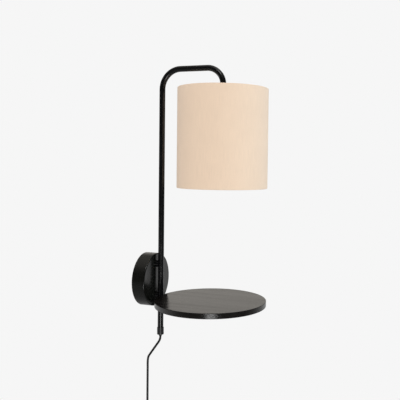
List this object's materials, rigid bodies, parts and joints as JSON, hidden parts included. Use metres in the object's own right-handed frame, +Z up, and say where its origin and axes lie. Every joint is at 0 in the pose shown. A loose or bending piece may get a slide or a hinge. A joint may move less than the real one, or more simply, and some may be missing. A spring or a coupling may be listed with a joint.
{
  "type": "wall lamp with shelf",
  "caption": "Wall lamp: a hooked black tube carries a fabric drum shade above and a round black shelf below; canopy, inline switch cord and plug.",
  "frame": {"origin": "middle of the wall bracket's back face, on the wall", "axes": "+Y into the wall, so the lamp stands out towards -Y; +Z up; +X to the right for someone who faces the wall"},
  "size_m": [0.226, 0.264, 0.913],
  "materials": {
    "canopy_metal": "matt black lacquer with a satin face",
    "stem_metal": "satin black powder coat",
    "zinc_steel": "zinc plated",
    "black_screw": "blackened steel",
    "shelf_wood": "black stained, lacquered",
    "brass": "plain",
    "holder_plastic": "moulded black",
    "soft_black": "matt",
    "cord_black": "round PVC sheath",
    "ceramic": "unglazed",
    "wire_cream": "cream coated wire",
    "liner": "translucent shade film",
    "shade_cloth": "woven cotton",
    "bulb_metal": "rolled thread",
    "bulb_white": "white housing",
    "bulb_opal": "opal",
    "switch_plastic": "moulded black",
    "pin_metal": "nickel plated"
  },
  "bodies": {
    "fixture": {"wall_bracket": "zinc_steel", "canopy": "canopy_metal", "canopy_screws": "black_screw", "mounting_studs": "zinc_steel", "stud_spacers": "stem_metal", "stud_washers": "zinc_steel", "stud_nuts": "zinc_steel", "stem": "stem_metal", "shelf_bracket": "stem_metal", "shelf": "shelf_wood", "shelf_screws": "brass", "end_cap": "soft_black", "strain_relief": "soft_black", "inner_flex": "cord_black", "stem_nipple": "brass", "holder_cap": "holder_plastic", "holder_body": "holder_plastic", "holder_insert": "ceramic", "holder_contacts": "brass", "ring_nut": "holder_plastic", "shade_spider": "wire_cream", "shade_bottom_ring": "wire_cream", "shade_liner": "liner", "shade_fabric": "shade_cloth", "bulb_cap": "bulb_metal", "bulb_housing": "bulb_white", "bulb_globe": "bulb_opal", "cord": "cord_black", "switch_base": "switch_plastic", "switch_cover": "switch_plastic", "switch_contacts": "brass", "switch_screws": "zinc_steel", "cord_coil": "cord_black", "coil_tie": "soft_black", "plug_lead": "cord_black", "plug_body": "soft_black", "plug_pins": "pin_metal", "pin_sleeves": "soft_black"},
    "rocker": {"switch_rocker": "switch_plastic"}
  },
  "joints": [
    {"name": "switch_rock", "type": "hinge", "parent": "fixture", "child": "rocker", "pos_m": [0, -0.0152, -0.299], "axis": [1, 0, 0], "range_deg": [0, 16]}
  ]
}
